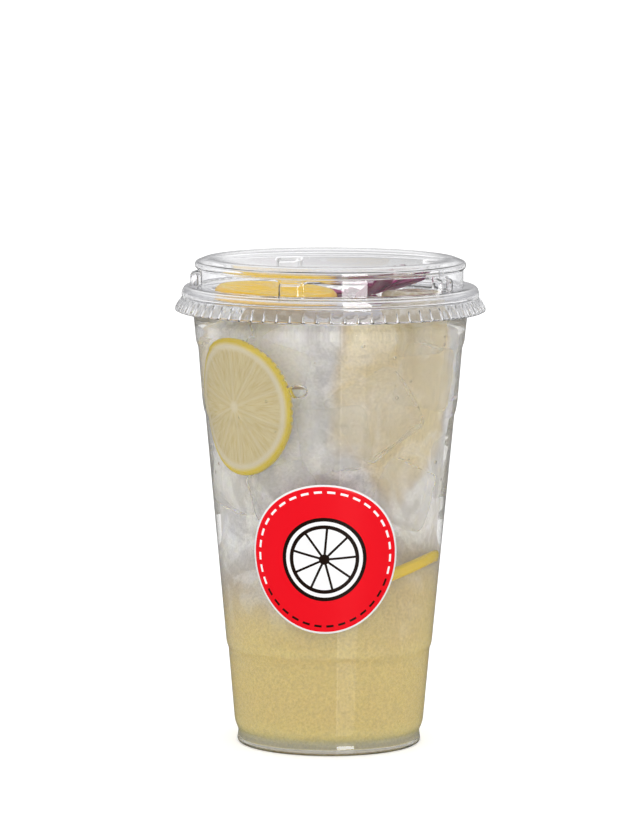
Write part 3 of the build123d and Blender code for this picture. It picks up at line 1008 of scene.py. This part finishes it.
# %% Room
LIT_STRENGTH = 1.16
lit_stops = [
    (0.0, (1.0, 1.0, 1.0, 1.0)), (0.02, (0.34, 0.34, 0.35, 1.0)),
    (0.2, (0.45, 0.45, 0.46, 1.0)), (0.45, (1.0, 1.0, 1.0, 1.0)),
]
dim_stops = [
    (0.0, (0.16, 0.16, 0.16, 1.0)), (0.01, (0.4, 0.4, 0.41, 1.0)),
    (0.2, (0.54, 0.54, 0.55, 1.0)), (0.42, (1.0, 1.0, 1.0, 1.0)),
]
world = bpy.data.worlds.new("studio")
scene = bpy.context.scene
scene.world = world
world.use_nodes = True
tree = world.node_tree
sky = tree.nodes["Background"]
kinds = put(tree, "ShaderNodeLightPath").outputs
way = put(tree, "ShaderNodeTexCoord").outputs["Object"]
up = put(tree, "ShaderNodeSeparateXYZ", {0: way}).outputs[2]
lit_walls = put(tree, "ShaderNodeValToRGB", {0: up}, stops=lit_stops)
dim_walls = put(tree, "ShaderNodeValToRGB", {0: up}, stops=dim_stops)
walls = put(
    tree, "ShaderNodeMix", {0: kinds["Is Diffuse Ray"], 6: dim_walls, 7: lit_walls}, data_type="RGBA",
).outputs[2]
shown = put(
    tree, "ShaderNodeMix", {0: kinds["Is Camera Ray"], 6: walls, 7: (1, 1, 1, 1)}, data_type="RGBA",
).outputs[2]
strength = put(
    tree, "ShaderNodeMapRange", {0: kinds["Is Diffuse Ray"], 1: 0.0, 2: 1.0, 3: 1.0, 4: LIT_STRENGTH},
)
tree.links.new(shown, sky.inputs[0])
tree.links.new(strength.outputs[0], sky.inputs[1])
print("room walls have", len(lit_stops), "levels for matt things and", len(dim_stops), "for the rest")

# %% [markdown]
# ## Lamps
#
# A soft key lamp in front lights the matt things. The bright window to the right of
# the camera and the weaker strips under it are only seen in what mirrors them, as the
# highlight that runs down the cup and the lid.

# %% Lamps


def lamp(name, angle, distance, height, size, radiance, mirrored):
    """A soft lamp that faces the cup. It lights matt things, or if mirrored only shows in glossy ones.

    The angle is from +X in degrees and size is (wide, tall) in metres.
    """
    data = bpy.data.lights.new(name, "AREA")
    data.shape = "RECTANGLE"
    data.size, data.size_y = size
    data.energy = radiance * math.pi * size[0] * size[1]
    rig = bpy.data.objects.new(name, data)
    bearing = math.radians(angle)
    rig.location = (distance * math.cos(bearing), distance * math.sin(bearing), height)
    aim = Vector((0, 0, height)) - rig.location
    rig.rotation_euler = aim.to_track_quat("-Z", "Y").to_euler()
    bpy.context.collection.objects.link(rig)
    rig.visible_camera = False
    rig.visible_transmission = False
    rig.visible_diffuse = not mirrored
    rig.visible_glossy = mirrored
    print(name, round(data.energy, 2), "W")


lamp("key", -90, 1.3, 0.1, (0.40, 2.2), 1.6, mirrored=False)
lamp("low_strip", -69.6, 1.3, -0.55, (0.50, 1.0), 0.8, mirrored=True)
lamp("low_strip_edge", -80.5, 1.28, -0.55, (0.03, 1.0), 1.2, mirrored=True)
lamp("window", -69.6, 1.3, 0.55, (0.50, 1.2), 10.0, mirrored=True)

# %% [markdown]
# ## Camera
#
# The camera looks down by about six degrees with a long lens. Clear walls need many
# bounces, or they turn dark. Cycles blurs sharp glass after a matt bounce unless
# Filter Glossy is 0; left at its default it takes half the light out of a drink inside
# a clear cup.

# %% Camera
CAMERA_X, CAMERA_Y, CAMERA_Z, LOOK_Z = -0.0034, -1.541, 0.2934, 0.1145
CAMERA_ROLL = math.radians(0.2)
camera_data = bpy.data.cameras.new("camera")
camera_data.lens = 201.6
camera = bpy.data.objects.new("camera", camera_data)
camera.location = (CAMERA_X, CAMERA_Y, CAMERA_Z)
look = Vector((CAMERA_X, 0, LOOK_Z)) - camera.location
aimed = look.to_track_quat("-Z", "Y") @ Euler((0, 0, CAMERA_ROLL)).to_quaternion()
camera.rotation_euler = aimed.to_euler()
bpy.context.collection.objects.link(camera)
scene.camera = camera
scene.view_settings.view_transform = "Standard"
scene.cycles.blur_glossy = 0.0
scene.cycles.max_bounces = 32
scene.cycles.transmission_bounces = 32
scene.cycles.glossy_bounces = 12
scene.cycles.diffuse_bounces = 6
print("camera", round(look.length, 3), "m from the cup's axis")

# %% Finish
low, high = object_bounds()
print("visual box in mm:", [round(v / MM, 1) for v in (*low, *high)])
